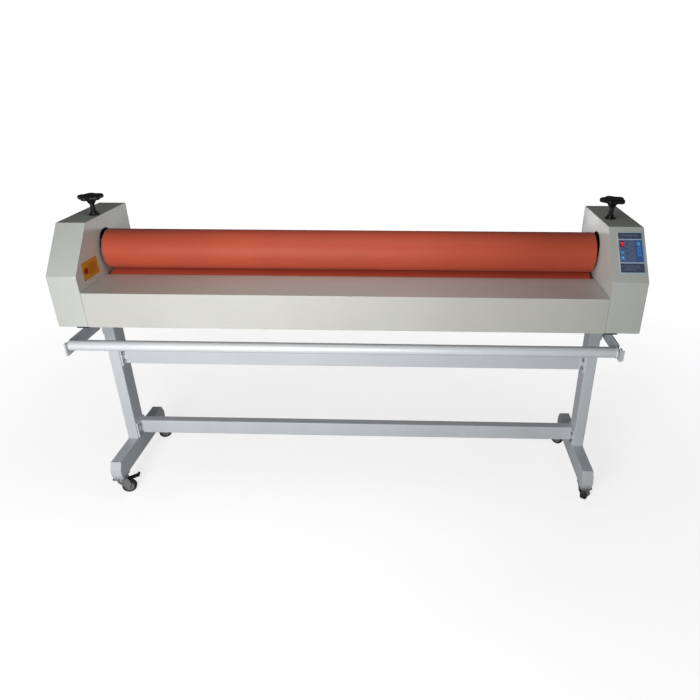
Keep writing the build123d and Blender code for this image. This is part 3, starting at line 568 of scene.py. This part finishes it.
def segment_digit(place, centre):
    """The six lit strokes of a seven segment figure, as small raised bars."""
    cx, cy = centre
    w, h, t = 5.6 * MM, 12.0 * MM, 1.5 * MM
    bars = [(0, h / 2, w, t), (0, -h / 2, w, t), (0, 0, w, t)]
    bars += [(-w / 2, h / 4, t, h / 2), (w / 2, -h / 4, t, h / 2), (w / 2, h / 4, t, h / 2)]
    parts = []
    for x, y, bw, bh in bars:
        outline = rounded(bw - 0.3 * MM, bh - 0.3 * MM, 0.5 * MM, 2, (cx + x, cy + y))
        parts.append(prism(outline, 0, 0.15 * MM, place))
    return join(parts)


def make_panel():
    """Printed fields, lamps, legends, figure and key marks."""
    place = panel_frame()
    holes = panel_holes(place, 0.5 * MM)
    for name, (look, area) in PANEL_ZONES.items():
        area = tuple(v * MM for v in area)
        piece("panel_" + name, *cut_sheet(area, holes, 0, PANEL_FILM, place), "frame", "keypad_film", look)
    lamps, rings, legends = [], [], []
    for row in LED_ROWS:
        spot = place @ Matrix.Translation((-12 * MM, row * MM, 0))
        dome = [(2.0 * MM, 0), (2.0 * MM, 0.3 * MM), (1.5 * MM, 0.75 * MM), (0.7 * MM, 1.0 * MM),
                (0.05 * MM, 1.05 * MM), (0.05 * MM, 0)]
        lamps.append(turned_piece(dome, spot, 20))
        rim = [(2.1 * MM, 0), (2.8 * MM, 0), (2.8 * MM, 0.22 * MM), (2.1 * MM, 0.22 * MM)]
        rings.append(turned_piece(rim, spot, 24))
        outline = rounded(8 * MM, 1.5 * MM, 0.5 * MM, 2, (3 * MM, row * MM))
        legends.append(prism(outline, PANEL_FILM, PANEL_FILM + 0.05 * MM, place))
    for x, y, w in LEGEND_LINES:
        outline = rounded(w * MM, 1.6 * MM, 0.6 * MM, 2, (x * MM, y * MM))
        legends.append(prism(outline, PANEL_FILM, PANEL_FILM + 0.05 * MM, place))
    piece("panel_lamps", *join(lamps), "frame", "keypad_film", "led", smooth=True)
    piece("panel_lamp_rings", *join(rings), "frame", "keypad_film", "panel_mark", smooth=True)
    piece("panel_legend_bars", *join(legends), "frame", "keypad_film", "panel_mark")
    window = place.inverted() @ node_centre("display_window")
    lens_top = place @ Matrix.Translation((0, 0, -0.5 * MM))
    piece("display_figure", *segment_digit(lens_top, (window.x, window.y)), "frame", "display_lens", "digit")
    make_key_marks(place)


def make_key_marks(place):
    """A raised sign on each key: four small squares, an arrow each way, a bar and a square."""
    top = 0.9 * MM
    arrow = [(-3.0, -2.0), (3.0, -2.0), (0, 3.0)]
    signs = {
        "speed_up_key": [rounded(2.6 * MM, 2.6 * MM, 0.5 * MM, 2, (x * MM, y * MM))
                         for x in (-2.4, 2.4) for y in (-2.4, 2.4)],
        "forward_key": [[(x * MM, y * MM) for x, y in arrow]],
        "reverse_key": [[(-x * MM, -y * MM) for x, y in arrow]],
        "run_key": [rounded(5 * MM, 1.4 * MM, 0.6 * MM, 3)],
        "stop_key": [rounded(4.6 * MM, 4.6 * MM, 0.5 * MM, 3)],
    }
    for name, outlines in signs.items():
        c = place.inverted() @ node_centre(name)
        spot = place @ Matrix.Translation((c.x, c.y, top))
        look = "key_light" if name in ("speed_up_key", "run_key", "stop_key") else "key_mark"
        solid = join([prism(outline, 0, 0.12 * MM, spot) for outline in outlines])
        piece(name + "_sign", *solid, name + "_cap", "key_blue", look)


LABEL_BARS = (                 # x, y and length of each bar, in millimetres from the label's middle
    (14, 16, 46), (12, 9.5, 42), (14, 3, 46), (11, -3.5, 40), (14, -10, 46), (8, -16.5, 34),
)


def make_label():
    """Printed border, a red sign and plain bars on the notice plate."""
    low, high = (Vector(corner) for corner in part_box("side_label"))
    width, height = high.y - low.y, high.z - low.z
    centre = (high.x, (low.y + high.y) / 2, (low.z + high.z) / 2)
    place = axis_frame(centre, (1, 0, 0), (0, 1, 0))
    parts = []
    edge = 1.6 * MM
    sides = ((0, 1, width, edge), (0, -1, width, edge), (1, 0, edge, height), (-1, 0, edge, height))
    for sx, sy, w, h in sides:
        shift = (sx * (width - edge) / 2, sy * (height - edge) / 2)
        trim = 2 * edge if sx else 0
        strip = rounded(w - 0.2 * MM, h - trim - 0.2 * MM, 0.2 * MM, 1, shift)
        parts.append(prism(strip, 0, 0.1 * MM, place))
    piece("label_border", *join(parts), "frame", "label_film", "amber_dark")
    sign = prism(disc(12 * MM, (-26 * MM, 0), 32), 0, 0.12 * MM, place)
    piece("label_sign", *sign, "frame", "label_film", "notice_red")
    bars = [prism(rounded(w * MM, 2.4 * MM, 0.8 * MM, 2, (x * MM, y * MM)), 0, 0.1 * MM, place)
            for x, y, w in LABEL_BARS]
    piece("label_bars", *join(bars), "frame", "label_film", "notice_ink")


# ---- knobs and screws -----------------------------------------------------------------------
KNOB_LOBES = 5
KNOB_WAVE = 5.0                # half the depth between lobes, millimetres
KNOB_PHASE = {"left": math.radians(215), "right": math.radians(130)}
KNOB_T = 15.0                  # thickness of the disc
KNOB_RINGS = (                 # height above the disc's underside, radius, share of the lobes
    (-13.9, 8.6, 0.0), (-13.9, 9.6, 0.0), (-13.2, 10.2, 0.0), (-9.0, 12.2, 0.0), (-4.0, 15.2, 0.0),
    (-1.2, 17.6, 0.0), (-0.2, 20.5, 0.05), (0.2, 26.0, 0.35), (0.5, 32.0, 0.85), (1.8, 34.9, 1.0),
    (4.6, 36.0, 1.0), (9.6, 36.0, 1.0), (12.6, 34.9, 1.0), (14.5, 32.0, 0.95), (14.9, 27.0, 0.7),
    (14.3, 20.5, 0.25), (13.9, 14.5, 0.0), (13.9, 13.2, 0.0), (14.9, 12.4, 0.0), (14.9, 6.0, 0.0),
    (14.9, 0.6, 0.0),
)


def make_knob(side):
    """Lobed hand knob, drawn as one smooth closed skin, with a moulded centre cap."""
    axis = JOINTS[side + "_screw_turn"]["pos_m"]
    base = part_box(side + "_knob")[1][2] - KNOB_T * MM
    steps = 80
    points = []
    for z, reach, share in KNOB_RINGS:
        for i in range(steps):
            a = 2 * math.pi * i / steps
            wave = KNOB_WAVE * share * math.cos(KNOB_LOBES * a - KNOB_PHASE[side])
            r = (reach + wave) * MM
            points.append((axis[0] + r * math.cos(a), axis[1] + r * math.sin(a), base + z * MM))
    rings = len(KNOB_RINGS)
    faces = grid_faces(rings, steps)
    faces.append(tuple(range(steps))[::-1])
    faces.append(tuple(range((rings - 1) * steps, rings * steps)))
    knob = piece(side + "_star_knob", points, faces, side + "_screw", "black_plastic", "black", smooth=True)
    knob.modifiers.new("smooth", "SUBSURF").levels = 1
    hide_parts(side + "_knob")


def make_screw(side):
    """Pressure screw with a rolled thread of 4 mm pitch."""
    node = side + "_pressure_screw"
    low, high = (Vector(corner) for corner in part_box(node))
    axis = JOINTS[side + "_screw_turn"]["pos_m"]
    crest, depth, pitch = (high.x - low.x) / 2, 1.1 * MM, 4.0 * MM
    steps, step_z = 32, 0.5 * MM
    rows = int((high.z - low.z) / step_z)
    points = []
    for k in range(rows + 1):
        z = low.z + (high.z - low.z) * k / rows
        ease = min(1.0, (z - low.z) / pitch, (high.z - z) / pitch)
        for i in range(steps):
            a = 2 * math.pi * i / steps
            turn = (z / pitch - a / (2 * math.pi)) % 1.0
            groove = min(1.0, max(0.0, 1.6 - abs(turn - 0.5) * 5.2))
            r = crest - depth * max(groove, 1 - ease)
            points.append((axis[0] + r * math.cos(a), axis[1] + r * math.sin(a), z))
    faces = grid_faces(rows + 1, steps)
    faces.append(tuple(range(steps))[::-1])
    faces.append(tuple(range(rows * steps, (rows + 1) * steps)))
    name = side + "_threaded_screw"
    screw = piece(name, points, faces, side + "_screw", "dark_steel", "oxide", smooth=True)
    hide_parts(node)


# ---- weld beads -----------------------------------------------------------------------------
def bead(path, radius):
    """Closed weld bead along a loop of points, with the ripples of a hand weld."""
    ring = 8
    count = len(path)
    points = []
    for i, p in enumerate(path):
        ahead = (path[(i + 1) % count] - path[i - 1]).normalized()
        side = ahead.cross(Vector((0.3, 0.5, 0.81))).normalized()
        up = side.cross(ahead)
        r = radius * (1 + 0.16 * math.sin(i * 2.1) + 0.06 * math.sin(i * 0.7))
        for j in range(ring):
            a = 2 * math.pi * j / ring
            points.append(p + side * r * math.cos(a) + up * r * math.sin(a))
    return points, grid_faces(count, ring, closed_rows=True)


def loop_round(low, high, axis, level, step=1.6 * MM):
    """Points round a rectangle normal to an axis (0 is X, 2 is Z), at a level on that axis."""
    a, b = [i for i in range(3) if i != axis]
    corners = [(low[a], low[b]), (high[a], low[b]), (high[a], high[b]), (low[a], high[b])]
    path = []
    for (p0, q0), (p1, q1) in zip(corners, corners[1:] + corners[:1]):
        count = max(2, int(math.hypot(p1 - p0, q1 - q0) / step))
        for i in range(count):
            point = [0.0, 0.0, 0.0]
            point[a] = p0 + (p1 - p0) * i / count
            point[b] = q0 + (q1 - q0) * i / count
            point[axis] = level
            path.append(Vector(point))
    return path


WELD_R = 1.5 * MM
CROSSBAR_PLATE_T = 5 * MM
PLATE_RISE = 4 * MM            # height of an end plate beyond its tube, above and below
TUBE_BACKSET = {"lower_crossbar": 27 * MM, "upper_crossbar": 15 * MM}   # plate front to tube front


def make_welds():
    """Beads where the uprights stand on the feet and where the crossbars meet their plates."""
    for side in SIDES:
        low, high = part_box(side + "_upright")
        loop = loop_round(low, high, 2, low[2] + 0.3 * MM)
        piece(side + "_foot_weld", *bead(loop, WELD_R), "frame", "stand_paint", "bead", smooth=True)
    for name, backset in TUBE_BACKSET.items():
        low, high = (Vector(corner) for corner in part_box(name))
        tube_low = Vector((low.x, low.y + backset, low.z + PLATE_RISE))
        tube_high = Vector((high.x, high.y - 3 * MM, high.z - PLATE_RISE))
        loops = [bead(loop_round(tube_low, tube_high, 0, x), WELD_R)
                 for x in (low.x + CROSSBAR_PLATE_T, high.x - CROSSBAR_PLATE_T)]
        piece(name + "_welds", *join(loops), "frame", "stand_paint", "bead", smooth=True)


# ---- casters --------------------------------------------------------------------------------
def hexagon(radius):
    """Outline of a hex head."""
    return [(radius * math.cos(math.pi / 3 * i), radius * math.sin(math.pi / 3 * i)) for i in range(6)]


def make_caster_details(name):
    """Spoked hub discs on the wheel, axle nuts and a ball race ring on the fork."""
    spin = JOINTS[name + "_wheel_spin"]
    axis, centre = Vector(spin["axis"]), Vector(spin["pos_m"])
    hubs, nuts = [], []
    for direction in (1, -1):
        place = axis_frame(centre, axis * direction, (0, 0, 1))
        dish = [(8.3, 8.2), (16.6, 8.2), (16.6, 9.3), (15.0, 9.7),
                (13.4, 8.9), (11.4, 8.9), (9.8, 9.9), (8.3, 9.9)]
        hubs.append(turned_piece([(r * MM, z * MM) for r, z in dish], place, 40))
        for i in range(5):
            a = 2 * math.pi * i / 5
            outline = rounded(1.6 * MM, 4.4 * MM, 0.5 * MM, 2)
            spoke = place @ Matrix.Rotation(a, 4, "Z") @ Matrix.Translation((0, 12.4 * MM, 0))
            hubs.append(prism(outline, 8.9 * MM, 9.6 * MM, spoke))
        nuts.append(prism(hexagon(6.6 * MM), 14.6 * MM, 18.4 * MM, place))
        washer = [(4.2, 14.55), (8.2, 14.55), (8.2, 15.4), (4.2, 15.4)]
        nuts.append(turned_piece([(r * MM, z * MM) for r, z in washer], place, 32))
    piece(name + "_hub_discs", *join(hubs), name + "_roll", "wheel_rubber", "wheel_core", smooth=False)
    swivel = Vector(JOINTS[name + "_swivel"]["pos_m"])
    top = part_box(name + "_fork")[1][2]
    crown = axis_frame((swivel.x, swivel.y, top), (0, 0, 1))
    lip = [(17.4, -4.6), (19.6, -4.6), (20.3, -3.0), (20.3, -1.0), (19.4, -0.1), (17.4, -0.1)]
    nuts.append(turned_piece([(r * MM, z * MM) for r, z in lip], crown, 56))
    shine = piece(name + "_axle_nuts", *join(nuts), name + "_caster", "bright_steel", "zinc")
    shine.modifiers.new("edge", "BEVEL").width = 0.0004


# ---- smaller trim ---------------------------------------------------------------------------
SHAFT_HOLE_R = 46 * MM
TRIM_R = 1.3 * MM


def make_shaft_trim():
    """Black edging round the upper shaft hole in each inner panel; its black is partly a real edging and
    partly painted shade for the dark gap in the hole.
    """
    lift = JOINTS["roller_lift"]["range_m"][1]
    axis = JOINTS["top_roller_spin"]["pos_m"]
    centre_z = axis[2] + lift + 2 * MM
    steps = 56
    for side, sign in SIDES.items():
        low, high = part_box(side + "_inner_panel")
        x = high[0] if sign < 0 else low[0]
        turns = [2 * math.pi * i / steps for i in range(steps)]
        path = [Vector((x, axis[1] + SHAFT_HOLE_R * math.cos(a), centre_z + SHAFT_HOLE_R * math.sin(a)))
                for a in turns]
        points, faces = trim_tube(path, TRIM_R)
        # the black ring also paints the shade in the gap of the hole
        piece(side + "_shaft_hole_trim_painted_shade", points, faces, "frame", "black_plastic", "gap_shade_trim", smooth=True)


def trim_tube(path, radius, ring=8):
    """Closed round bead along a loop in a plane of constant X."""
    count = len(path)
    points = []
    for i, p in enumerate(path):
        ahead = (path[(i + 1) % count] - path[i - 1]).normalized()
        out = ahead.cross(Vector((1, 0, 0)))
        for j in range(ring):
            a = 2 * math.pi * j / ring
            points.append(p + out * radius * math.cos(a) + Vector((1, 0, 0)) * radius * math.sin(a))
    return points, grid_faces(count, ring, closed_rows=True)


BAR_JOURNAL = 10.0 * MM        # journal that shows beyond the bar's left end
PLUG_PROUD = 0.35              # millimetres; the bush's flange starts 0.6 mm beyond the bar's end


def make_bar_caps():
    """Turned end plug in the supply bar's left end."""
    left_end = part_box("supply_bar")[0][0]
    axis = JOINTS["supply_bar_spin"]["pos_m"]
    place = axis_frame((left_end + BAR_JOURNAL, axis[1], axis[2]), (-1, 0, 0), (0, 0, 1))
    plug = [(6.2, -0.1), (14.2, -0.1), (14.2, 0.2), (13.8, PLUG_PROUD), (6.2, PLUG_PROUD)]
    ring = turned_piece([(r * MM, z * MM) for r, z in plug], place, 48)
    piece("supply_bar_plug", *ring, "bar", "bar_aluminium", "turned")


dress_nodes()
make_panel()
make_label()
for side_name in SIDES:
    make_knob(side_name)
    make_screw(side_name)
for caster in ("front_left", "front_right", "rear_left", "rear_right"):
    make_caster_details(caster)
make_welds()
make_shaft_trim()
make_bar_caps()
